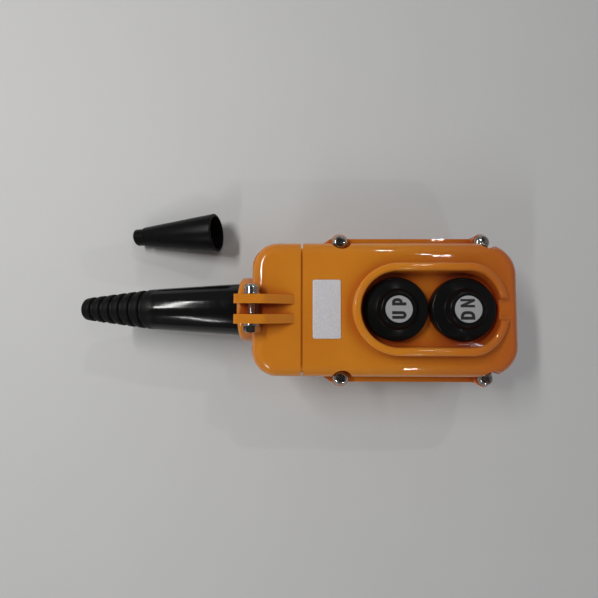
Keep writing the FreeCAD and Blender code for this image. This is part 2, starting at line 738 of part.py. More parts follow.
def make_button_boot(name, x):
    """The rubber cap with its rim on the well floor, its neck in the hole and its lip below."""
    body = new_body(f"{name}_boot")
    neck = S.boot_hole - S.boot_gap
    wall = S.boot_wall
    inner = neck - wall
    rim_top = well_floor + S.boot_lip
    shoulder = well_floor + S.shoulder_height
    recess = S.legend_radius + S.legend_gap
    fold = S.boot_radius - wall
    section = new_sketch(body, "section", role="XZ_Plane")
    outline(section, [
        (ORIGIN, plunger_top), (S.cap_edge, plunger_top, wall * 0.3),
        (S.shoulder_radius - wall, shoulder - wall), (fold, rim_top - wall), (fold, well_floor + wall),
        (inner, well_floor + wall), (inner, guide_top),
        (S.boot_seat, guide_top), (S.boot_seat, dish_under), (neck, dish_under), (neck, well_floor),
        (S.boot_radius, well_floor), (S.boot_radius, rim_top, wall * 0.9),
        (S.shoulder_radius, shoulder, wall), (S.cap_radius, shoulder + wall * 0.4, wall * 0.4),
        (S.cap_edge, button_top, wall), (recess, button_top), (recess, legend_seat), (ORIGIN, legend_seat),
    ])
    revolve(body, section)
    place(body, x)
    return keep(body, f"{name}_boot")


def make_legend(name, x):
    """The pale disc set into the top of a button."""
    body = new_body(f"{name}_legend")
    disc = new_sketch(body, "disc")
    circle(disc, 0, 0, S.legend_radius)
    pad(body, disc, S.legend_thick)
    fillet(body, S.legend_thick * 0.25, lambda edge: level(edge, S.legend_thick))
    place(body, x, ORIGIN, legend_seat)
    return keep(body, f"{name}_legend")


def make_plunger(name, x):
    """The stem from under the rubber cap down to the return spring."""
    body = new_body(f"{name}_plunger")
    section = new_sketch(body, "section", role="XZ_Plane")
    head_under = plunger_top - S.plunger_head_thick
    outline(section, [
        (ORIGIN, stem_end), (S.stem_radius, stem_end), (S.stem_radius, collar_under),
        (S.collar_radius, collar_under), (S.collar_radius, collar_top), (S.plunger_radius, collar_top),
        (S.plunger_radius, head_under), (S.plunger_head, head_under), (S.plunger_head, plunger_top),
        (ORIGIN, plunger_top),
    ])
    revolve(body, section)
    place(body, x)
    return keep(body, f"{name}_plunger")


def make_clip(name, x):
    """The open ring on the stem that lifts the contact bridge."""
    body = new_body(f"{name}_clip")
    ring = new_sketch(body, "ring", offset=bridge_under - S.rest_gap - S.clip_thick)
    circle(ring, 0, 0, S.clip_radius)
    circle(ring, 0, 0, S.stem_radius + S.rest_gap / 2)
    pad(body, ring, S.clip_thick)
    mouth = new_sketch(body, "mouth", offset=bridge_under)
    outline(mouth, slit(S.clip_radius, S.clip_mouth))
    pocket(body, mouth, S.clip_thick * 2)
    place(body, x)
    return keep(body, f"{name}_clip")


def make_bridge(name, x):
    """The moving contact: a strip across the switch with a silver tip under each end."""
    body = new_body(f"{name}_contact_bridge")
    strip = new_sketch(body, "strip", offset=bridge_under)
    half = S.bridge_width / 2
    end = S.bridge_length / 2
    outline(strip, mirrored([(-half, end, S.terminal_radius), (half, end, S.terminal_radius)]))
    circle(strip, 0, 0, S.stem_radius + S.slide_gap)
    pad(body, strip, S.bridge_thick)
    tips = new_sketch(body, "tips", offset=bridge_under)
    for side in (-1, 1):
        circle(tips, 0, S.tip_offset * side, S.tip_radius)
    pad(body, tips, S.tip_height, reverse=True)
    place(body, x)
    return keep(body, f"{name}_contact_bridge")


def make_spring(name, coil, wire, turns, x, bottom, top):
    """A wire wound round the button's axis between two heights; flats on the wire keep its surface light."""
    reach = top - bottom - wire * 2
    start = bottom + wire
    spine = doc.addObject("Part::Helix", f"{name}_spine")
    pitch = reach / turns
    for slot, size in (("Radius", coil), ("Pitch", pitch), ("Height", reach)):
        setattr(spine, slot, size.number)
        spine.setExpression(slot, size.formula)
    place(spine, x, ORIGIN, start)
    ring = doc.addObject("Part::RegularPolygon", f"{name}_section")
    ring.Polygon = int(S.wire_sides.number)
    ring.Circumradius = wire.number
    ring.setExpression("Circumradius", wire.formula)
    place(ring, x + coil, ORIGIN, start, FreeCAD.Rotation(FreeCAD.Vector(1, 0, 0), 90))
    spring = doc.addObject("Part::Sweep", name)
    spring.Sections = [ring]
    spring.Spine = (spine, ["Edge1"])
    spring.Solid = True
    spring.Frenet = True
    doc.recompute()
    return keep(spring, name)


def make_button(name, x):
    make_button_boot(name, x)
    make_legend(name, x)
    make_plunger(name, x)
    make_clip(name, x)
    make_bridge(name, x)
    make_spring(f"{name}_contact_spring", S.contact_coil, S.contact_wire, S.contact_turns, x,
                bridge_top + S.rest_gap, collar_under)
    make_spring(f"{name}_return_spring", S.return_coil, S.return_wire, S.return_turns, x,
                tube_base + S.tube_floor, stem_end - S.rest_gap)


def make_guide_plate():
    """The plate under the well that guides both stems and grips the lips of the rubber caps."""
    body = new_body("guide_plate")
    plate = new_sketch(body, "plate", offset=guide_under)
    stadium(plate, up_x, down_x, S.guide_radius)
    for x in (up_x, down_x):
        circle(plate, x, ORIGIN, S.plunger_radius + S.slide_gap)
    for x, y in guide_screw_spots():
        circle(plate, x, y, S.small_screw + S.hole_gap)
    pad(body, plate, S.guide_thick)
    return keep(body, "guide_plate")


# Contact block

def contact_spots(offset):
    return [(x, offset * side) for x in (up_x, down_x) for side in (-1, 1)]


def make_contact_block():
    """The moulded block with a spring well under each stem and a pad under each fixed contact."""
    body = new_body("contact_block")
    plate = new_sketch(body, "plate", offset=S.block_floor)
    half_x, half_y = S.block_length / 2, S.block_width / 2
    start, end = S.button_middle - half_x, S.button_middle + half_x
    outline(plate, mirrored([(start, half_y, S.block_corner), (end, half_y, S.block_corner)]))
    for x, y in block_screw_spots():
        circle(plate, x, y, S.small_screw + S.hole_gap)
    pad(body, plate, S.block_thick)
    axes = [(up_x, ORIGIN), (down_x, ORIGIN)]
    bore = S.stem_radius + S.slide_gap
    tube_length = S.tube_drop + S.block_thick + S.tube_rise
    add_cylinders(body, "wells", axes, bore + S.well_wall, tube_base, tube_length)
    for i, (x, side) in enumerate(((x, side) for x in (up_x, down_x) for side in (-1, 1)), start=1):
        seat = new_sketch(body, f"contact_pad_{i}", offset=block_top - S.block_thick / 2)
        near_y, far_y = S.pad_start * side, half_y * side
        left, right = x - S.pad_width / 2, x + S.pad_width / 2
        loop = [(left, near_y), (right, near_y), (right, far_y), (left, far_y)]
        outline(seat, loop if side > 0 else loop[::-1])
        pad(body, seat, S.pad_height + S.block_thick / 2)
    barrier = new_sketch(body, "barrier", offset=block_top - S.block_thick / 2)
    thin = S.barrier_thick / 2
    outline(barrier, mirrored([(S.button_middle - thin, half_y), (S.button_middle + thin, half_y)]))
    pad(body, barrier, S.barrier_height + S.block_thick / 2)
    cut_holes(body, "well_bores", axes, bore, block_top + S.tube_rise, tube_length - S.tube_floor)
    cut_holes(body, "terminal_holes", contact_spots(S.terminal_offset), S.terminal_radius + S.thread_gap,
              strip_under, S.terminal_length - S.strip_thick + S.hole_end)
    return keep(body, "contact_block")


def make_fixed_contacts():
    """A strip with a silver tip and a screw hole, four times."""
    master = new_body("fixed_contact")
    strip = new_sketch(master, "strip")
    half = S.strip_width / 2
    near_y, far_y = S.strip_start, S.strip_end
    outline(strip, [(-half, near_y), (half, near_y), (half, far_y), (-half, far_y)])
    circle(strip, ORIGIN, S.terminal_offset, S.terminal_radius + S.hole_gap)
    pad(master, strip, S.strip_thick)
    tip = new_sketch(master, "tip", offset=S.strip_thick)
    circle(tip, ORIGIN, S.tip_offset, S.tip_radius)
    pad(master, tip, S.tip_height)
    copies = []
    for x in (up_x, down_x):
        for turn in (0, 180):
            copy = doc.addObject("App::Link", f"fixed_contact_copy_{len(copies) + 1}")
            copy.LinkedObject = master
            place(copy, x, ORIGIN, strip_under, FreeCAD.Rotation(FreeCAD.Vector(0, 0, 1), turn))
            copies.append(copy)
    contacts = doc.addObject("Part::Compound", "fixed_contacts")
    contacts.Links = copies
    doc.recompute()
    return keep(contacts, "fixed_contacts")


# Cable entry

def make_cable_boot():
    """The long rubber sleeve: a flange inside the hood, a plain taper and a ribbed tip."""
    body = new_body("cable_boot")
    section = new_sketch(body, "section", role="XZ_Plane")
    collar_face = -half_length - S.collar_length
    tip = collar_face - S.sleeve_length
    rib_start = tip + S.rib_zone
    blend = rib_start + S.sleeve_blend
    inside = S.wall - half_length
    flange_end = inside + S.sleeve_flange_thick
    waist = S.sleeve_mid + (S.sleeve_root - S.sleeve_mid) * 0.2
    root_inside = S.sleeve_root - S.sleeve_wall
    corners = [
        (tip, S.sleeve_bore), (tip + S.sleeve_throat, S.sleeve_bore),
        (rib_start, S.sleeve_mid - S.sleeve_wall),
        (collar_face, root_inside), (flange_end, root_inside), (flange_end, S.sleeve_flange),
        (inside, S.sleeve_flange), (inside, S.sleeve_root), (collar_face, S.sleeve_root),
        (blend, waist, S.rib_zone * 1.5),
    ]
    outline(section, corners + rib_corners(tip, rib_start))
    revolve(body, section, axis="H_Axis")
    place(body, ORIGIN, ORIGIN, S.entry_height)
    return keep(body, "cable_boot")


def rib_corners(tip, rib_start):
    """The taper from the root of the ribs to the plain nose, with a groove on each side of a round rib."""
    count = int(S.rib_count.number)
    pitch = (rib_start - tip - S.nose_length) / (count - 1)
    fall = (S.sleeve_mid - S.sleeve_tip) / (count + 0.5)
    corners = []
    for i in range(count):
        radius = S.sleeve_mid - fall * i
        left = rib_start - pitch * i - S.rib_gap / 2
        right = left + S.rib_gap
        corners += [
            (right, radius, S.rib_round), (right, radius - S.rib_groove),
            (left, radius - S.rib_groove), (left, radius - fall * 0.2, S.rib_round),
        ]
    return corners + [(tip, S.sleeve_tip, S.nose_round)]


def make_loose_sleeve():
    """The small cone that lies beside the switch, resting on its side."""
    body = new_body("loose_sleeve")
    section = new_sketch(body, "section", role="XZ_Plane")
    neck = -S.spare_length + S.spare_nozzle_length
    outline(section, [
        (-S.spare_length, S.spare_bore), (neck, S.spare_bore), (ORIGIN, S.spare_mouth - S.spare_wall),
        (ORIGIN, S.spare_mouth), (neck, S.spare_neck), (neck, S.spare_nozzle),
        (-S.spare_length, S.spare_nozzle, S.spare_wall * 0.5),
    ])
    revolve(body, section, axis="H_Axis")
    rise = (S.spare_mouth - S.spare_neck).number
    run = (S.spare_length - S.spare_nozzle_length).number
    lean = math.degrees(math.atan2(rise, run))
    slant = math.hypot(rise, run)
    lift = S.spare_mouth * (run / slant)
    turn = FreeCAD.Rotation(FreeCAD.Vector(0, 0, 1), S.spare_turn.number)
    tilt = FreeCAD.Rotation(FreeCAD.Vector(0, 1, 0), -lean)
    place(body, -S.spare_x, S.spare_y, lift, turn * tilt)
    return keep(body, "loose_sleeve")


def make_cable_clamp():
    """A strap bent over the cable, with a flat foot at each side."""
    body = new_body("cable_clamp")
    foot = new_sketch(body, "foot", offset=S.clamp_seat)
    outline(foot, clamp_outline())
    for x, y in clamp_screw_spots():
        circle(foot, x, y, S.small_screw + S.hole_gap)
    pad(body, foot, S.clamp_thick)
    outer = S.clamp_bore + S.clamp_thick
    for name, side, make in (("arch", outer, pad), ("arch_room", S.clamp_bore, pocket)):
        sketch = new_sketch(body, name, role="YZ_Plane", offset=clamp_x - S.clamp_width / 2)
        top = S.clamp_axis + side
        round_top = side * 0.95
        outline(sketch, [
            (-side, S.clamp_seat), (side, S.clamp_seat), (side, top, round_top), (-side, top, round_top),
        ])
        make(body, sketch, S.clamp_width, reverse=make is pocket)
    return keep(body, "cable_clamp")


# Hanger

ALONG_Y = FreeCAD.Rotation(FreeCAD.Vector(1, 0, 0), -90)


def hanger_place(piece, y):
    return place(piece, bolt_x, y, bolt_height, ALONG_Y)


def ring_body(name, outer, inner, thick):
    body = new_body(name)
    ring = new_sketch(body, "ring")
    circle(ring, 0, 0, outer)
    circle(ring, 0, 0, inner)
    pad(body, ring, thick)
    return body


def make_hanger():
    """The cross bolt between the ears with its washers, spring washer and nut."""
    head_seat = ear_outer + S.washer_thick + S.lock_thick
    bolt = screw_body("hanger_bolt", S.bolt_radius, S.bolt_length, S.bolt_head_radius, S.bolt_head_height)
    hanger_place(bolt, head_seat)
    keep(bolt, "hanger_bolt")
    washer = ring_body("hanger_washer", S.washer_radius, S.bolt_radius + S.hole_gap, S.washer_thick)
    washer.Placement = FreeCAD.Placement(FreeCAD.Vector(), ALONG_Y)
    group("hanger_washers", washer, [
        (bolt_x, ear_outer, bolt_height), (bolt_x, -ear_outer - S.washer_thick, bolt_height),
    ])
    lock = ring_body("hanger_lock_washer", S.lock_radius, S.bolt_radius + S.hole_gap, S.lock_thick)
    split = new_sketch(lock, "split", offset=S.lock_thick)
    outline(split, slit(S.lock_radius, S.lock_gap))
    pocket(lock, split, S.lock_thick)
    hanger_place(lock, ear_outer + S.washer_thick)
    keep(lock, "hanger_lock_washer")
    make_hanger_nut(-ear_outer - S.washer_thick - S.nut_height)


def make_hanger_nut(y):
    """A hexagon nut with bevelled corners."""
    body = new_body("hanger_nut")
    hexagon = new_sketch(body, "hexagon")
    flat = S.nut_flats / 2
    corner = S.nut_flats / math.sqrt(3)
    outline(hexagon, [
        (corner, ORIGIN), (corner / 2, flat), (-corner / 2, flat), (-corner, ORIGIN), (-corner / 2, -flat),
        (corner / 2, -flat),
    ])
    circle(hexagon, 0, 0, S.bolt_radius + S.rest_gap)
    pad(body, hexagon, S.nut_height)
    hanger_place(body, y)
    return keep(body, "hanger_nut")


# Assembly

make_rear_case()
make_front_cover()
make_gasket()
make_nameplate()
make_screws("cover_screws", S.screw_radius, S.screw_length, S.head_radius, S.head_height,
            screw_spots(), lug_top)
make_cable_boot()
make_cable_clamp()
make_screws("clamp_screws", S.small_screw, S.clamp_screw_length, S.small_head, S.small_head_height,
            clamp_screw_spots(), S.clamp_seat + S.clamp_thick)
make_hanger()
make_guide_plate()
make_screws("guide_screws", S.small_screw, S.guide_screw_length, S.small_head, S.small_head_height,
            guide_screw_spots(), guide_under, upside_down=True)
make_contact_block()
make_screws("block_screws", S.small_screw, S.block_screw_length, S.small_head, S.small_head_height,
            block_screw_spots(), block_top)
make_fixed_contacts()
make_screws("terminal_screws", S.terminal_radius, S.terminal_length, S.terminal_head, S.terminal_head_height,
            contact_spots(S.terminal_offset), strip_top)
for button_name, button_x in (("up", up_x), ("down", down_x)):
    make_button(button_name, button_x)
make_loose_sleeve()

doc.recompute()
for thing in doc.Objects:
    if any(flag in thing.State for flag in ("Invalid", "Error")):
        raise RuntimeError(f"{thing.Label} failed: {thing.State}")
for piece_name, piece in PIECES:
    if piece.Shape.isNull() or not piece.Shape.isValid():
        raise RuntimeError(f"{piece_name} has no valid shape")

os.makedirs("parts", exist_ok=True)
for piece_name, piece in PIECES:
    piece.Shape.exportStep(os.path.join("parts", f"{piece_name}.step"))
    box = piece.Shape.BoundBox
    print(f"{piece_name}: {len(piece.Shape.Solids)} solid(s), {piece.Shape.Volume:.0f} cubic mm, "
          f"z {box.ZMin:.2f} to {box.ZMax:.2f}")
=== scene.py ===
import json
import math

import bmesh
import bpy
from mathutils import Matrix, Vector


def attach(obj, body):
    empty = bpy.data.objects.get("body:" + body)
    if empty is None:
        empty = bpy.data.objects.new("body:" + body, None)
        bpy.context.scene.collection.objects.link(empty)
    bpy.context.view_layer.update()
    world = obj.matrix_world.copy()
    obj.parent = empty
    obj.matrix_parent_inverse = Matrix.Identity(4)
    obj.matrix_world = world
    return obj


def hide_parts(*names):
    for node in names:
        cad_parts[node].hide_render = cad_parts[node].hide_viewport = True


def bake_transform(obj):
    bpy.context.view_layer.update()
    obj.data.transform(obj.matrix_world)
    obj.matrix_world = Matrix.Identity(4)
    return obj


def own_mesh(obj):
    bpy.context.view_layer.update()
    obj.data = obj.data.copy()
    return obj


# The looks of the pendant switch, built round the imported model. Lengths in the tables are in millimetres.

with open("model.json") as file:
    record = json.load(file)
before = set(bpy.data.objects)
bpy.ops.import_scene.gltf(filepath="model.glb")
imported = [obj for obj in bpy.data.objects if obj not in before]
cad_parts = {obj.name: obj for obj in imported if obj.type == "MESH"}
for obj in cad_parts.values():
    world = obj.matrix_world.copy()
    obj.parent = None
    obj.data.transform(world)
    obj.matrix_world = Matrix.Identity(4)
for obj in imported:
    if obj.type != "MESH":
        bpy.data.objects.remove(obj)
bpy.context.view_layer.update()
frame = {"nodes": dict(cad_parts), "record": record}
MM = 0.001
NODES = frame["nodes"]


# Camera and light

def add_camera():
    """The photo's own view, nearly straight down on the cover."""
    place, angles = (-40.34, -2.40, 197.44), (2.767, 0.58, 0.128)
    data = bpy.data.cameras.new("camera")
    data.sensor_width = 36
    data.lens = 18.7
    data.clip_start = 0.005
    camera = bpy.data.objects.new("camera", data)
    camera.location = Vector(place) * MM
    camera.rotation_euler = [math.radians(angle) for angle in angles]
    bpy.context.scene.collection.objects.link(camera)
    bpy.context.scene.camera = camera


def add_lamp(name, start, end, width, aim, power, color=(1, 1, 1)):
    """A straight lamp between two points, in millimetres, that faces a third one."""
    start, end, aim = Vector(start), Vector(end), Vector(aim)
    data = bpy.data.lights.new(name, "AREA")
    data.shape = "RECTANGLE"
    data.size, data.size_y = (end - start).length * MM, width * MM
    data.energy = power
    data.color = color
    lamp = bpy.data.objects.new(name, data)
    length = (end - start).normalized()
    away = (start + end) / 2 - aim
    away = (away - length * away.dot(length)).normalized()
    turn = Matrix((length, away.cross(length), away)).transposed()
    lamp.matrix_world = Matrix.Translation((start + end) / 2 * MM) @ turn.to_4x4()
    bpy.context.scene.collection.objects.link(lamp)
    return lamp


def add_lamps():
    """Narrow lamps for the streaks on the boot, the hood and the case edges, and a fill without streaks.

    The window is in three pieces, because its streak on the boot changes along its length.
    """
    boot, case, near, far = (-90, 0, 30), (0, 0, 30), (0, 28, 47), (13, -28, 47)
    daylight = (1.0, 0.99, 0.97)
    add_lamp("window_low", (-440, 45, 545), (-428, 88, 542), 25, boot, 0.14, daylight)
    add_lamp("window", (-428, 88, 542), (-408, 130, 541), 55, boot, 0.54, daylight)
    add_lamp("window_end", (-408, 130, 541), (-355, 343, 460), 30, boot, 1.4, daylight)
    add_lamp("side_window", (-514, -503, 663), (-372, -740, 470), 22, boot, 1.35)
    add_lamp("strip_left", (202, 676, 638), (251, 668, 631), 18, near, 0.7)
    add_lamp("strip_middle", (317, 330, 838), (372, 330, 838), 20, near, 0.35)
    add_lamp("strip_end", (369, 181, 856), (411, 179, 850), 9, near, 0.12)
    add_lamp("strip_flange", (366, 236, 836), (412, 236, 836), 6, near, 0.09)
    add_lamp("strip_low", (280, -650, 640), (335, -650, 640), 16, far, 0.6)
    fill = add_lamp("fill", (600, -150, 810), (1200, -150, 810), 600, case, 0.32)
    fill.visible_glossy = False


def add_world():
    """A pale room: dim overhead and in mirrored light, brighter towards the sides, with an even backdrop."""
    world = bpy.data.worlds.new("room")
    bpy.context.scene.world = world
    world.use_nodes = True
    tree = world.node_tree
    tree.nodes.clear()
    place = tree.nodes.new("ShaderNodeTexCoord")
    split = tree.nodes.new("ShaderNodeSeparateXYZ")
    ramp = tree.nodes.new("ShaderNodeValToRGB")
    stops = ((0.0, 0.24), (0.35, 0.34), (0.62, 0.32), (0.80, 0.17), (0.93, 0.06), (1.0, 0.04))
    backdrop_level, mirrored_share = 0.56, 0.5
    while len(ramp.color_ramp.elements) < len(stops):
        ramp.color_ramp.elements.new(0.5)
    for element, (position, level) in zip(ramp.color_ramp.elements, stops):
        element.position = position
        element.color = (level, level, level * 1.01, 1)
    room = tree.nodes.new("ShaderNodeBackground")
    backdrop = tree.nodes.new("ShaderNodeBackground")
    backdrop.inputs["Color"].default_value = (backdrop_level, backdrop_level, backdrop_level, 1)
    rays = tree.nodes.new("ShaderNodeLightPath")
    dim = tree.nodes.new("ShaderNodeMapRange")
    dim.inputs["To Min"].default_value = 1.0
    dim.inputs["To Max"].default_value = mirrored_share
    mix = tree.nodes.new("ShaderNodeMixShader")
    output = tree.nodes.new("ShaderNodeOutputWorld")
    for start, end in (
        (place.outputs["Generated"], split.inputs[0]),
        (split.outputs["Z"], ramp.inputs["Fac"]),
        (ramp.outputs["Color"], room.inputs["Color"]),
        (rays.outputs["Is Glossy Ray"], dim.inputs["Value"]),
        (dim.outputs["Result"], room.inputs["Strength"]),
        (rays.outputs["Is Camera Ray"], mix.inputs[0]),
        (room.outputs[0], mix.inputs[1]),
        (backdrop.outputs[0], mix.inputs[2]),
        (mix.outputs[0], output.inputs["Surface"]),
    ):
        tree.links.new(start, end)


# Materials

class Paint:
    """A material whose nodes are added one call at a time."""

    def __init__(self, name, **fixed):
        self.material = bpy.data.materials.new(name)
        self.material.use_nodes = True
        self.tree = self.material.node_tree
        self.tree.nodes.clear()
        self.shader = self.tree.nodes.new("ShaderNodeBsdfPrincipled")
        output = self.tree.nodes.new("ShaderNodeOutputMaterial")
        self.link(self.shader.outputs[0], output.inputs["Surface"])
        self.place = self.tree.nodes.new("ShaderNodeTexCoord")
        for socket, value in fixed.items():
            self.shader.inputs[socket.replace("_", " ")].default_value = value
        self.normal = None

    def link(self, start, end):
        self.tree.links.new(start, end)

    def coordinates(self, stretch=(1, 1, 1)):
        mapping = self.tree.nodes.new("ShaderNodeMapping")
        mapping.inputs["Scale"].default_value = stretch
        self.link(self.place.outputs["Object"], mapping.inputs["Vector"])
        return mapping.outputs[0]

    def noise(self, grain, detail, roughness=0.5, stretch=(1, 1, 1)):
        """Noise whose features are about one grain wide, in millimetres."""
        node = self.tree.nodes.new("ShaderNodeTexNoise")
        node.inputs["Scale"].default_value = 1 / (grain * MM)
        node.inputs["Detail"].default_value = detail
        node.inputs["Roughness"].default_value = roughness
        self.link(self.coordinates(stretch), node.inputs["Vector"])
        return node.outputs["Fac"]

    def place_along(self, axis):
        """The place along one of the object's own axes, in millimetres."""
        node = self.tree.nodes.new("ShaderNodeSeparateXYZ")
        self.link(self.coordinates([1 / MM] * 3), node.inputs[0])
        return node.outputs[axis]

    def openness(self, reach):
        """One in the open, less where walls nearer than the reach, in millimetres, close in."""
        node = self.tree.nodes.new("ShaderNodeAmbientOcclusion")
        node.inputs["Distance"].default_value = reach * MM
        return node.outputs["AO"]

    def cells(self, grain):
        """Cells of random colour about one grain wide, in millimetres."""
        node = self.tree.nodes.new("ShaderNodeTexVoronoi")
        node.inputs["Scale"].default_value = 1 / (grain * MM)
        self.link(self.coordinates(), node.inputs["Vector"])
        return node.outputs["Color"]

    def remap(self, value, low, high, to_low, to_high):
        """A value carried from one range to another and held inside it."""
        node = self.tree.nodes.new("ShaderNodeMapRange")
        sockets = ("From Min", "From Max", "To Min", "To Max")
        for socket, number in zip(sockets, (low, high, to_low, to_high)):
            node.inputs[socket].default_value = number
        self.link(value, node.inputs["Value"])
        return node.outputs["Result"]

    def larger(self, first, second):
        node = self.tree.nodes.new("ShaderNodeMath")
        node.operation = "MAXIMUM"
        self.link(first, node.inputs[0])
        self.link(second, node.inputs[1])
        return node.outputs[0]

    def blend(self, factor, first, second):
        """A colour between two, which are colours or earlier outputs."""
        node = self.tree.nodes.new("ShaderNodeMix")
        node.data_type = "RGBA"
        self.link(factor, node.inputs["Factor"])
        for socket, color in ((node.inputs[6], first), (node.inputs[7], second)):
            if isinstance(color, tuple):
                socket.default_value = (*color, 1)
            else:
                self.link(color, socket)
        return node.outputs[2]

    def color(self, value):
        self.link(value, self.shader.inputs["Base Color"])

    def roughness(self, value):
        self.link(value, self.shader.inputs["Roughness"])

    def bump(self, height, depth, strength):
        """Adds relief of a depth in millimetres on top of the earlier relief."""
        node = self.tree.nodes.new("ShaderNodeBump")
        node.inputs["Strength"].default_value = strength
        node.inputs["Distance"].default_value = depth * MM
        self.link(height, node.inputs["Height"])
        if self.normal is not None:
            self.link(self.normal, node.inputs["Normal"])
        self.normal = node.outputs[0]
        self.link(self.normal, self.shader.inputs["Normal"])


def case_plastic():
    """Glossy orange plastic with a few pale specks, and painted shade: darker and redder towards the far end
    and in its corners.
    """
    light, dark, speckled = (0.59, 0.210, 0.017), (0.54, 0.182, 0.015), (0.62, 0.26, 0.05)
    far_end_painted_shade, corner_painted_shade = (0.41, 0.080, 0.013), (0.36, 0.045, 0.008)
    shade_start, shade_end, corner_shade_reach = 10, 66, 8
    paint = Paint("case_plastic", IOR=1.5, Subsurface_Weight=0.3, Subsurface_Radius=(1.0, 0.3, 0.1),
                  Subsurface_Scale=0.002)
    tint = paint.blend(paint.remap(paint.noise(38, 3), 0.35, 0.65, 0, 1), light, dark)
    # Painted shade: darker and redder towards the far end, where less lamp light falls.
    tint = paint.blend(paint.remap(paint.place_along("X"), shade_start, shade_end, 0, 0.85), tint, far_end_painted_shade)
    # Painted shade: darker and redder in corners and crevices, where nearby walls close in.
    tint = paint.blend(paint.remap(paint.openness(corner_shade_reach), 0.25, 0.88, 0.92, 0), tint, corner_painted_shade)
    speck = paint.remap(paint.noise(0.9, 4, 0.7), 0.66, 0.78, 0, 0.35)
    paint.color(paint.blend(speck, tint, speckled))
    paint.roughness(paint.remap(paint.noise(7, 5, 0.62), 0.3, 0.7, 0.012, 0.045))
    paint.bump(paint.noise(9, 2), 0.10, 0.6)
    paint.bump(paint.noise(0.5, 2), 0.004, 0.7)
    return paint.material


def rubber(name, low, high, grain=0.35, shine=0.28, dull_from=None):
    """Black moulded rubber, dull past a place on its own Z axis where one is given."""
    cold, warm, dusty = (0.0035, 0.0035, 0.0038), (0.0062, 0.006, 0.006), (0.020, 0.0195, 0.019)
    fade_length, dull_roughness, dull_share = 6, 0.5, 0.4
    paint = Paint(name, IOR=1.46, Specular_IOR_Level=shine)
    dust = paint.remap(paint.noise(1.1, 5, 0.72), 0.64, 0.82, 0, 0.5)
    paint.color(paint.blend(dust, paint.blend(paint.noise(14, 3), cold, warm), dusty))
    finish = paint.remap(paint.noise(5, 4, 0.6), 0.3, 0.7, low, high)
    if dull_from is not None:
        along_axis, fade = paint.place_along("Z"), (dull_from, dull_from - fade_length)
        finish = paint.larger(finish, paint.remap(along_axis, *fade, 0, dull_roughness))
        sheen = paint.remap(along_axis, *fade, shine, shine * dull_share)
        paint.link(sheen, paint.shader.inputs["Specular IOR Level"])
    paint.roughness(finish)
    paint.bump(paint.noise(6, 2), 0.06, 0.5)
    paint.bump(paint.noise(grain, 2), 0.006, 0.7)
    return paint.material


def darker(color, share):
    return tuple(channel * share for channel in color)


def plated_steel(name, color, low, high):
    """Bright metal with small dents and fine turning lines round its own Z axis."""
    paint = Paint(name, Metallic=1.0)
    paint.color(paint.blend(paint.noise(1.6, 4, 0.6), color, darker(color, 0.8)))
    paint.roughness(paint.remap(paint.noise(0.8, 5, 0.65), 0.3, 0.7, low, high))
    paint.bump(paint.noise(0.8, 2), 0.06, 0.6)
    paint.bump(paint.noise(0.25, 3, 0.6, stretch=(1, 1, 6)), 0.004, 0.5)
    return paint.material


def blasted_plate():
    """The nameplate's sparkling grey surface."""
    dark, light = (0.47, 0.46, 0.48), (0.74, 0.73, 0.76)
    paint = Paint("blasted_plate", Metallic=0.25)
    paint.color(paint.blend(paint.cells(0.2), dark, light))
    paint.roughness(paint.remap(paint.noise(0.5, 3), 0.3, 0.7, 0.4, 0.6))
    paint.bump(paint.noise(0.15, 2), 0.008, 0.6)
    return paint.material


def legend_disc():
    """Grey grained plastic under the letters."""
    middle, light, grained = (0.32, 0.32, 0.325), (0.37, 0.37, 0.375), (0.255, 0.255, 0.26)
    paint = Paint("legend_disc")
    grain = paint.remap(paint.noise(0.22, 3, 0.7), 0.3, 0.7, 0, 1)
    paint.color(paint.blend(grain, paint.blend(paint.noise(4, 2), middle, light), grained))
    paint.roughness(paint.remap(paint.noise(1.5, 3), 0.3, 0.7, 0.38, 0.55))
    paint.bump(paint.noise(0.2, 2), 0.006, 0.6)
    return paint.material


def moulded(name, color, grain=0.6, low=0.42, high=0.6):
    """Satin moulded plastic for the inner pieces and the printed letters."""
    paint = Paint(name)
    paint.color(paint.blend(paint.noise(8, 3), color, darker(color, 0.82)))
    paint.roughness(paint.remap(paint.noise(2, 4), 0.3, 0.7, low, high))
    paint.bump(paint.noise(grain, 2), 0.008, 0.6)
    return paint.material


def floor_card():
    """Pale matt card with a faint cloudiness."""
    dark, light = (0.52, 0.52, 0.52), (0.545, 0.545, 0.545)
    paint = Paint("floor_card")
    paint.color(paint.blend(paint.noise(60, 4, 0.6), dark, light))
    paint.roughness(paint.remap(paint.noise(3, 3), 0.3, 0.7, 0.75, 0.9))
    paint.bump(paint.noise(0.7, 2), 0.02, 0.4)
    return paint.material


MATERIALS = {
    "case_plastic": case_plastic(),
    "rubber": rubber("sleeve_rubber", 0.26, 0.38, shine=0.1),
    "screw_steel": plated_steel("screw_steel", (0.62, 0.605, 0.58), 0.08, 0.2),
    "spring_steel": plated_steel("spring_steel", (0.55, 0.56, 0.58), 0.22, 0.36),
    "plate_metal": blasted_plate(),
    "legend_plastic": legend_disc(),
    "inner_plastic": moulded("inner_plastic", (0.035, 0.035, 0.038)),
    "stem_plastic": moulded("stem_plastic", (0.70, 0.68, 0.62)),
    "contact_brass": plated_steel("contact_brass", (0.78, 0.57, 0.25), 0.2, 0.34),
    "gasket_rubber": rubber("gasket_rubber", 0.45, 0.6),
}
BOOT_RUBBER = rubber("boot_rubber", 0.09, 0.17, dull_from=-116)
BUTTON_RUBBER = rubber("button_rubber", 0.18, 0.28, grain=0.25, shine=0.14)
INK = moulded("letter_ink", (0.012, 0.012, 0.013), grain=0.3, low=0.35, high=0.5)


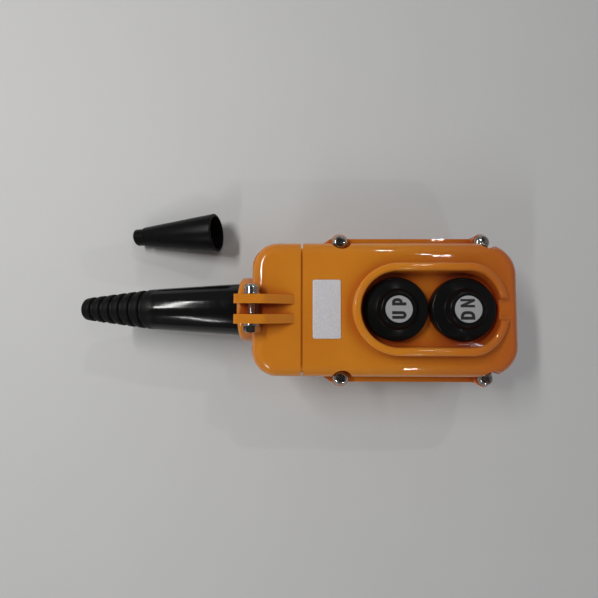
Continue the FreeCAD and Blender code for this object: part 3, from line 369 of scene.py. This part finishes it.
def paint_frame():
    """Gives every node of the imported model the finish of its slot."""
    for part in frame["record"]["subparts"]:
        mesh = NODES[part["node"]].data
        mesh.materials.clear()
        mesh.materials.append(MATERIALS[part["material_slot"]])


# Shapes

SAME_POINT = 1e-5
SAME_CORNER = 1e-4


def rounded(corners, steps=6):
    """The points of a closed loop through corners (a, b) or (a, b, radius), each radius drawn as an arc."""
    points = []
    for i, corner_painted_shade in enumerate(corners):
        here = Vector(corner_painted_shade[:2])
        if len(corner_painted_shade) == 2:
            points.append(here)
            continue
        back = (Vector(corners[i - 1][:2]) - here).normalized()
        ahead = (Vector(corners[(i + 1) % len(corners)][:2]) - here).normalized()
        half = back.angle(ahead) / 2
        reach = corner_painted_shade[2] / math.tan(half)
        middle = here + (back + ahead).normalized() * (corner_painted_shade[2] / math.sin(half))
        first, last = here + back * reach - middle, here + ahead * reach - middle
        for step in range(steps + 1):
            points.append(middle + first.slerp(last, step / steps).normalized() * corner_painted_shade[2])
    return points


def finish_mesh(name, bm, material, smooth=35):
    """Turns a bmesh in millimetres into an object in metres, shaded smooth but for its sharp edges."""
    bmesh.ops.remove_doubles(bm, verts=bm.verts, dist=SAME_POINT)
    bmesh.ops.recalc_face_normals(bm, faces=bm.faces)
    bmesh.ops.scale(bm, vec=(MM, MM, MM), verts=bm.verts)
    mesh = bpy.data.meshes.new(name)
    bm.to_mesh(mesh)
    bm.free()
    mesh.shade_smooth()
    mesh.set_sharp_from_angle(angle=math.radians(smooth))
    mesh.materials.append(material)
    piece = bpy.data.objects.new(name, mesh)
    bpy.context.scene.collection.objects.link(piece)
    return piece


def skin(bm, rings):
    """Makes a solid of rings with the same count of corners: bands of quads and a cap at each end."""
    for here, there in zip(rings, rings[1:]):
        for i in range(len(here)):
            j = (i + 1) % len(here)
            bm.faces.new((here[i], here[j], there[j], there[i]))
    bm.faces.new(rings[0][::-1])
    bm.faces.new(rings[-1])


def box_bmesh(size):
    """A box of three side lengths about the origin."""
    bm = bmesh.new()
    bmesh.ops.create_cube(bm, size=1)
    bmesh.ops.scale(bm, vec=size, verts=bm.verts)
    return bm


def lathe_bmesh(loop, segments):
    """A solid turned about Z from a closed loop of (radius, height) points."""
    on_axis, no_area = 1e-6, 1e-9
    bm = bmesh.new()
    rings = []
    for i in range(segments):
        angle = 2 * math.pi * i / segments
        rings.append([bm.verts.new((radius * math.cos(angle), radius * math.sin(angle), height))
                      for radius, height in loop])
    for here, there in zip(rings, rings[1:] + rings[:1]):
        for j in range(len(loop)):
            k = (j + 1) % len(loop)
            if loop[j][0] > on_axis or loop[k][0] > on_axis:
                bm.faces.new((here[j], there[j], there[k], here[k]))
    bmesh.ops.remove_doubles(bm, verts=bm.verts, dist=SAME_POINT)
    degenerate = [face for face in bm.faces if face.calc_area() < no_area]
    bmesh.ops.delete(bm, geom=degenerate, context="FACES_ONLY")
    return bm


def lathe(name, loop, material, segments=96):
    """A turned solid as an object."""
    return finish_mesh(name, lathe_bmesh(loop, segments), material)


def put(piece, location, rotation=None):
    """Gives a piece its place, in millimetres, and its turn."""
    piece.matrix_world = Matrix.Translation(Vector(location) * MM) @ (rotation or Matrix())
    return piece


def dress(piece, body, slot, *replaced):
    """Hands a piece to the frame: its body, and the nodes that it stands for, which it hides; the slot is not
    used.
    """
    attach(piece, body)
    if replaced:
        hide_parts(*replaced)
    return piece


def combine(piece, other, operation):
    """Cuts a piece with another solid, or keeps what both share, and removes that solid."""
    sharp = 30
    modifier = piece.modifiers.new("shape", "BOOLEAN")
    modifier.operation = operation
    modifier.solver = "EXACT"
    modifier.object = other
    bpy.context.view_layer.update()
    mesh = bpy.data.meshes.new_from_object(piece.evaluated_get(bpy.context.evaluated_depsgraph_get()))
    piece.modifiers.clear()
    old = piece.data
    piece.data = mesh
    mesh.name = piece.name
    bpy.data.meshes.remove(old)
    bpy.data.objects.remove(other)
    mesh.shade_smooth()
    mesh.set_sharp_from_angle(angle=math.radians(sharp))
    return piece


def along(axis):
    """A turn that lays a piece's own Z axis along another one."""
    return Vector(axis).to_track_quat("Z", "Y").to_matrix().to_4x4()


# Cable boot and loose sleeve

def make_cable_boot():
    """The ribbed rubber sleeve, turned about its own Z axis and laid along X at the case's inlet."""
    tip, face, seat, flange_end = -158.8, -73.0, -62.7, -60.2
    bore, throat, inlet, shank, flange, neck = 4.0, 7.95, 11.45, 14.15, 16.2, 11.35
    grooves, pitch, fall, depth, gap = 6, 5.52, 0.7385, 1.1, 1.6
    first, first_radius, lean = tip + 33.6, 10.65, 0.2
    bore_length, ramp, bend, inlet_height = 10, 8, 50.0, 27
    corners = [
        (bore, tip, 0.4), (bore, tip + bore_length), (throat, first), (inlet, face), (inlet, flange_end),
        (flange, flange_end), (flange, seat), (shank, seat), (shank, face), (neck, first + ramp, bend),
    ]
    for i in range(grooves):
        radius = first_radius - fall * i
        left = first - pitch * i - gap / 2
        right = left + gap
        corners += [
            (radius, right, 1.0), (radius - depth, right, 0.25), (radius - depth, left, 0.25),
            (radius - fall * lean, left, 1.0),
        ]
    tip_corner = (5.85, tip, 1.45)
    piece = lathe("cable_boot_skin", rounded(corners + [tip_corner], 7), BOOT_RUBBER, 128)
    put(piece, (0, 0, inlet_height), along((1, 0, 0)))
    return dress(piece, "root", "rubber", "cable_boot")


def make_loose_sleeve():
    """The small cone that lies on its side beside the boot."""
    length, mouth, neck, nozzle, bore, wall = 52.0, 11.4, 5.9, 5.1, 3.6, 1.5
    waist, yaw, place = 6.0 - length, math.radians(1.6), (-92.2, 46.7, 0)
    loop = rounded([
        (bore, -length, 0.25), (bore, waist), (mouth - wall, 0, 0.4), (mouth, 0, 0.6), (neck, waist, 0.3),
        (nozzle, waist), (nozzle, -length, 0.75),
    ])
    bm = lathe_bmesh(loop, 112)
    rise, run = mouth - neck, -waist
    lift = mouth * run / math.hypot(rise, run)
    turn = Matrix.Rotation(yaw, 4, "Z") @ Matrix.Rotation(-math.atan2(rise, run), 4, "Y") @ along((1, 0, 0))
    bmesh.ops.transform(bm, matrix=Matrix.Translation((0, 0, lift)) @ turn, verts=bm.verts)
    piece = put(finish_mesh("loose_sleeve_skin", bm, MATERIALS["rubber"]), place)
    return dress(piece, "loose_sleeve", "rubber", "loose_sleeve")


# Buttons

UP_X, DOWN_X = 4.5, 36.5
WELL_FLOOR, DISC_SEAT, LETTER_SEAT = 45.0, 52.6, 53.46


def make_boot(name, x):
    """The rubber cap of a button: a rim on the well floor, a sloping shoulder and a raised crown."""
    inside = [
        (0, 51.3), (7.9, 51.3, 0.4), (10.1, 49.1), (14.0, 48.0), (14.0, 46.3), (10.7, 46.3), (10.7, 40.7),
    ]
    lip = [(13.8, 40.7, 0.3), (13.8, 42.2, 0.3), (12.0, 42.2), (12.0, WELL_FLOOR)]
    outside = [
        (15.3, WELL_FLOOR, 0.25), (15.3, 49.3, 1.17), (11.4, 50.4, 1.3), (9.8, 50.92, 0.5), (8.1, 53.5, 0.9),
        (6.5, 53.5, 0.15), (6.5, DISC_SEAT), (0, DISC_SEAT),
    ]
    piece = lathe(f"{name}_boot_skin", rounded(inside + lip + outside, 8), BUTTON_RUBBER, 128)
    put(piece, (x, 0, 0))
    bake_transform(piece)
    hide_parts(f"{name}_boot")


def ribbon(bm, path, width):
    """A flat band of one width along a path, as quads on the plane z = 0."""
    path = [point for i, point in enumerate(path) if i == 0 or (point - path[i - 1]).length > SAME_CORNER]
    rows = []
    for i, point in enumerate(path):
        before = path[max(i - 1, 0)]
        after = path[min(i + 1, len(path) - 1)]
        heading = (after - before).normalized()
        side = Vector((-heading.y, heading.x)) * (width / 2)
        if 0 < i < len(path) - 1:
            bend = (point - before).normalized().angle((after - point).normalized(), 0)
            side /= math.cos(bend / 2)
        rows.append([bm.verts.new((*(point + side * sign), 0)) for sign in (1, -1)])
    for here, there in zip(rows, rows[1:]):
        bm.faces.new((here[0], there[0], there[1], here[1]))


def flat(bm, corners):
    """One face on the plane z = 0."""
    bm.faces.new([bm.verts.new((x, y, 0)) for x, y in corners])


def arc(centre, radius, start, end, steps=10):
    """Points on a circle from one angle to another, in degrees."""
    x, y = centre
    turns = [math.radians(start + (end - start) * i / steps) for i in range(steps + 1)]
    return [Vector((x + radius * math.cos(turn), y + radius * math.sin(turn))) for turn in turns]


def glyph(bm, letter, width, height, stroke):
    """One block letter, U, P, D or N, with its lower left corner at the origin."""
    rake, bowl_foot = stroke * 2.6, height * 0.47
    half = stroke / 2
    if letter == "U":
        bend = width / 2 - half
        bowl = arc((width / 2, half + bend), bend, 180, 360)
        ribbon(bm, [Vector((half, height))] + bowl + [Vector((width - half, height))], stroke)
        return
    flat(bm, [(0, 0), (stroke, 0), (stroke, height), (0, height)])
    if letter == "N":
        flat(bm, [(width - stroke, 0), (width, 0), (width, height), (width - stroke, height)])
        flat(bm, [(stroke, height), (stroke, height - rake), (width - stroke, 0), (width - stroke, rake)])
        return
    foot = half if letter == "D" else bowl_foot - half
    top = height - half
    bend = min(width - half - stroke, (top - foot) / 2)
    path = [Vector((stroke, top))]
    path += arc((width - half - bend, top - bend), bend, 90, 0)
    path += arc((width - half - bend, foot + bend), bend, 0, -90)
    ribbon(bm, path + [Vector((stroke, foot))], stroke)


def make_letters(name, letters, x, places):
    """Two block letters printed on a disc, their tops towards the cable end."""
    height, stroke, thick = 6.6, 1.4, 0.07
    thinner = {"N": 0.8}
    bm = bmesh.new()
    for letter, (start, width, shift) in zip(letters, places):
        known = set(bm.verts)
        glyph(bm, letter, width, height, stroke * thinner.get(letter, 1))
        fresh = [vert for vert in bm.verts if vert not in known]
        bmesh.ops.translate(bm, verts=fresh, vec=(start, shift - height / 2, 0))
    bmesh.ops.remove_doubles(bm, verts=bm.verts, dist=SAME_CORNER)
    grown = bmesh.ops.extrude_face_region(bm, geom=bm.faces[:])
    top = [item for item in grown["geom"] if isinstance(item, bmesh.types.BMVert)]
    bmesh.ops.translate(bm, verts=top, vec=(0, 0, thick))
    bmesh.ops.rotate(bm, verts=bm.verts, cent=(0, 0, 0), matrix=Matrix.Rotation(math.radians(90), 3, "Z"))
    piece = finish_mesh(f"{name}_letters", bm, INK, smooth=30)
    put(piece, (x, 0, LETTER_SEAT))
    return dress(piece, f"{name}_button", "legend_plastic")


def make_disc(name, x):
    """The legend disc in the crown of a button, with a softened rim."""
    radius, thick = 6.28, 0.88
    loop = rounded([(0, 0), (radius, 0), (radius, thick, 0.18), (0, thick)])
    piece = lathe(f"{name}_legend_disc", loop, MATERIALS["legend_plastic"])
    put(piece, (x, 0, DISC_SEAT))
    return dress(piece, f"{name}_button", "legend_plastic", f"{name}_legend")


def coil(name, x, turns, bottom, top, reach, wire, sides=12, steps=40):
    """A wire wound round a button's axis, with its last half turn at each end laid flat."""
    start, rise = bottom + wire, top - bottom - 2 * wire
    angles = [2 * math.pi * i / sides for i in range(sides)]
    bm = bmesh.new()
    rings = []
    for step in range(int(turns * steps) + 1):
        turn = step / steps
        climb = min(max((turn - 0.5) / (turns - 1), 0), 1)
        outward = Vector((math.cos(2 * math.pi * turn), math.sin(2 * math.pi * turn), 0))
        middle = outward * reach + Vector((0, 0, start + rise * climb))
        rings.append([
            bm.verts.new(middle + outward * (wire * math.cos(angle)) + Vector((0, 0, wire * math.sin(angle))))
            for angle in angles
        ])
    skin(bm, rings)
    return put(finish_mesh(name, bm, MATERIALS["spring_steel"], smooth=60), (x, 0, 0))


def make_springs(name, x):
    """The contact spring rides on the stem, the return spring on the block.

    In the real switch both shorten as the button goes down, the contact spring less, because its bridge goes
    part of the way; here they keep their length.
    """
    travel, lag, turns = 5.0, 3.0, 5
    low, high = 20.5, 36.65
    spring = coil(f"{name}_contact_coil", x, turns, low, high, reach=3.3, wire=0.4)
    dress(spring, f"{name}_button", "spring_steel", f"{name}_contact_spring")
    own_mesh(spring)
    low, high = 4.4, 11.45
    spring = coil(f"{name}_return_coil", x, turns, low, high, reach=1.85, wire=0.25)
    dress(spring, "root", "spring_steel", f"{name}_return_spring")
    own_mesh(spring)


# Fasteners

def cross_cutter(reach, half_width, depth):
    """A tapered cross that cuts a screw's recess from the plane z = 0 down."""
    mouth, foot = (0.3, reach * 1.08, half_width * 1.06), (-depth, reach * 0.42, half_width * 0.6)
    bm = bmesh.new()
    levels = []
    for height, arm, half in (mouth, foot):
        corners = []
        for quarter in range(4):
            for a, b in ((arm, -half), (arm, half), (half, half)):
                for _ in range(quarter):
                    a, b = -b, a
                corners.append(bm.verts.new((a, b, height)))
        levels.append(corners)
    skin(bm, levels)
    return finish_mesh("cutter", bm, MATERIALS["screw_steel"])


def thread_bmesh(radius, length, pitch, depth, segments=32, rows_per_turn=6):
    """A rod from z = -length to 0 with a helical thread and a tapered foot."""
    foot, foot_depth = pitch * 1.2, radius * 0.22
    rows = int(length / pitch * rows_per_turn)
    bm = bmesh.new()
    rings = []
    for row in range(rows + 1):
        height = -length * row / rows
        taper = max(0.0, 1 - (height + length) / foot) * foot_depth
        ring = []
        for i in range(segments):
            turn = i / segments
            phase = (height / pitch - turn) % 1
            r = radius - depth * (1 - abs(2 * phase - 1)) - taper
            angle = 2 * math.pi * turn
            ring.append(bm.verts.new((r * math.cos(angle), r * math.sin(angle), height)))
        rings.append(ring)
    skin(bm, rings)
    return bm


def screw(name, radius, length, head, height, spin, pitch=0.7):
    """A pan head screw with a cross recess, its seat on z = 0 and its head above."""
    loop = rounded([
        (0, 0), (head, 0, 0.18), (head, height * 0.48, height * 0.3), (head * 0.7, height * 0.95, head * 0.5),
        (0, height),
    ], 8)
    recess_reach, recess_half, recess_depth, thread_depth = head * 0.66, head * 0.17, height * 0.62, 0.3
    piece = lathe(name, loop, MATERIALS["screw_steel"], 72)
    cutter = cross_cutter(recess_reach, recess_half, recess_depth)
    put(cutter, (0, 0, height), Matrix.Rotation(math.radians(spin), 4, "Z"))
    combine(piece, cutter, "DIFFERENCE")
    thread = thread_bmesh(radius, length, pitch, thread_depth)
    shank = finish_mesh(f"{name}_shank", thread, MATERIALS["screw_steel"], smooth=60)
    return piece, shank


def join(pieces, name):
    """Makes one object of several, with their places kept."""
    bm = bmesh.new()
    for piece in pieces:
        mesh = piece.data.copy()
        mesh.transform(piece.matrix_world)
        bm.from_mesh(mesh)
        bpy.data.meshes.remove(mesh)
    mesh = bpy.data.meshes.new(name)
    bm.to_mesh(mesh)
    bm.free()
    mesh.materials.append(MATERIALS["screw_steel"])
    for piece in pieces:
        bpy.data.objects.remove(piece)
    joined = bpy.data.objects.new(name, mesh)
    bpy.context.scene.collection.objects.link(joined)
    return joined


def make_cover_screws():
    """Four screws through the lugs, each with its own turn of the recess."""
    spots = ((-20.9, 34.6, 20), (-20.9, -34.6, 48), (52.0, 34.6, 8), (52.0, -34.6, 30))
    radius, length, head, height, lug_top = 1.95, 23.0, 3.88, 2.88, 37
    pieces = []
    for i, (x, y, spin) in enumerate(spots, start=1):
        for piece in screw(f"cover_screw_{i}", radius, length, head, height, spin):
            pieces.append(put(piece, (x, y, lug_top)))
    dress(join(pieces, "cover_screw_set"), "root", "screw_steel", "cover_screws")


def washer(name, outer, low, edge):
    """A ring one millimetre thick from a height up, with rounded outer edges."""
    inner, high = 2.3, low + 1.0
    loop = rounded([(inner, low, 0.08), (outer, low, edge), (outer, high, edge), (inner, high, 0.08)], 3)
    return lathe(name, loop, MATERIALS["screw_steel"], 72)


def make_hanger():
    """The cross bolt through the ears with its washers and nut."""
    x, z, ear = -64.0, 51.0, 6.8
    thick, lock_thick, nut_height = 1.0, 1.1, 3.2
    lay = along((0, 1, 0))
    head, shank = screw("hanger_screw", radius=2.0, length=20.0, head=3.88, height=3.05, spin=24)
    for piece in (head, shank):
        put(piece, (x, ear + thick + lock_thick, z), lay)
    dress(join([head, shank], "hanger_screw"), "root", "screw_steel", "hanger_bolt")
    washers = [washer(f"washer_{side}", outer=4.0, low=0, edge=0.15) for side in ("left", "right")]
    put(washers[0], (x, ear, z), lay)
    put(washers[1], (x, -ear - thick, z), lay)
    dress(join(washers, "flat_washers"), "root", "screw_steel", "hanger_washers")
    lock = washer("spring_washer", outer=3.6, low=0.05, edge=0.12)
    slit_size, slope, slit_place = (2.4, 0.9, 3), math.radians(35), (3.1, 0, 0.5)
    bm = box_bmesh(slit_size)
    bmesh.ops.rotate(bm, verts=bm.verts, cent=(0, 0, 0), matrix=Matrix.Rotation(slope, 3, "X"))
    bmesh.ops.translate(bm, verts=bm.verts, vec=slit_place)
    combine(lock, finish_mesh("slit", bm, MATERIALS["screw_steel"]), "DIFFERENCE")
    put(lock, (x, ear + thick, z), lay)
    dress(lock, "root", "screw_steel", "hanger_lock_washer")
    make_nut(x, -ear - thick - nut_height, z, lay)


def make_nut(x, y, z, lay):
    """A hexagon nut with bevelled corners and a bore that widens at both ends."""
    flats, height = 6.98, 3.18
    bore, mouth, bevel_depth, sink, past = 2.05, 2.5, 0.4, 0.3, 0.5
    corner_painted_shade = flats / math.sqrt(3)
    outline = arc((0, 0), corner_painted_shade, 0, 300, 5)
    bm = bmesh.new()
    skin(bm, [[bm.verts.new((*point, level)) for point in outline] for level in (0, height)])
    nut = finish_mesh("hexagon_nut", bm, MATERIALS["screw_steel"])
    inner, outer = flats / 2, corner_painted_shade + 0.05
    drum = [(0, 0), (inner, 0), (outer, bevel_depth), (outer, height - bevel_depth), (inner, height),
            (0, height)]
    combine(nut, lathe("drum", drum, MATERIALS["screw_steel"], 72), "INTERSECT")
    drill = [(0, -past), (mouth, -past), (bore, sink), (bore, height - sink), (mouth, height + past),
             (0, height + past)]
    combine(nut, lathe("drill", rounded(drill), MATERIALS["screw_steel"], 48), "DIFFERENCE")
    put(nut, (x, y, z), lay)
    dress(nut, "root", "screw_steel", "hanger_nut")


# Nameplate, seam lip and floor

def make_nameplate():
    """A bare plate with rounded corners, a turned edge and a fine border line."""
    length, width, thick, corner_painted_shade, line_depth = 13.56, 28.36, 0.38, 1.0, 0.05
    middle, cover_top = -28.5, 48
    x0, x1, y0 = middle - length / 2, middle + length / 2, width / 2
    insets = (
        (0, 0.0, 1.0), (0, thick * 0.55, 1.0), (0.10, thick * 0.9, 0.9), (0.22, thick, 0.85),
        (0.75, thick, 0.6), (0.82, thick - line_depth, 0.55), (0.95, thick - line_depth, 0.5),
        (1.02, thick, 0.45),
    )
    bm = bmesh.new()
    rings = []
    for inset, height, share in insets:
        radius = corner_painted_shade * share
        corners = [(x0 + inset, -y0 + inset, radius), (x1 - inset, -y0 + inset, radius),
                   (x1 - inset, y0 - inset, radius), (x0 + inset, y0 - inset, radius)]
        rings.append([bm.verts.new((*point, height)) for point in rounded(corners)])
    skin(bm, rings)
    piece = finish_mesh("bare_nameplate", bm, MATERIALS["plate_metal"], smooth=25)
    put(piece, (0, 0, cover_top))
    return dress(piece, "root", "plate_metal", "nameplate")


def make_seam_lip():
    """The cover's sealing lip, which closes the seam a little below the surface and leaves its ends open."""
    size, middle = (0.96, 59.0, 1.6), (-40.5, 0, 46.6)
    lip = put(finish_mesh("seam_lip", box_bmesh(size), MATERIALS["case_plastic"]), middle)
    dress(lip, "root", "case_plastic")


def make_floor():
    """The pale table that the switch lies on."""
    reach = 1200
    bm = bmesh.new()
    bmesh.ops.create_grid(bm, x_segments=1, y_segments=1, size=reach)
    floor = finish_mesh("floor", bm, floor_card())


add_camera()
add_world()
add_lamps()
make_floor()
paint_frame()
make_cable_boot()
make_loose_sleeve()
for button, x in (("up", UP_X), ("down", DOWN_X)):
    make_boot(button, x)
    make_disc(button, x)
    make_springs(button, x)
make_letters("up", "UP", UP_X, ((-4.55, 3.55, 0.0), (1.65, 3.35, 0.0)))
make_letters("down", "DN", DOWN_X, ((-4.85, 3.95, 0.5), (0.85, 3.85, 0.5)))
make_cover_screws()
make_hanger()
make_nameplate()
make_seam_lip()

bpy.context.scene.view_settings.view_transform = "Standard"
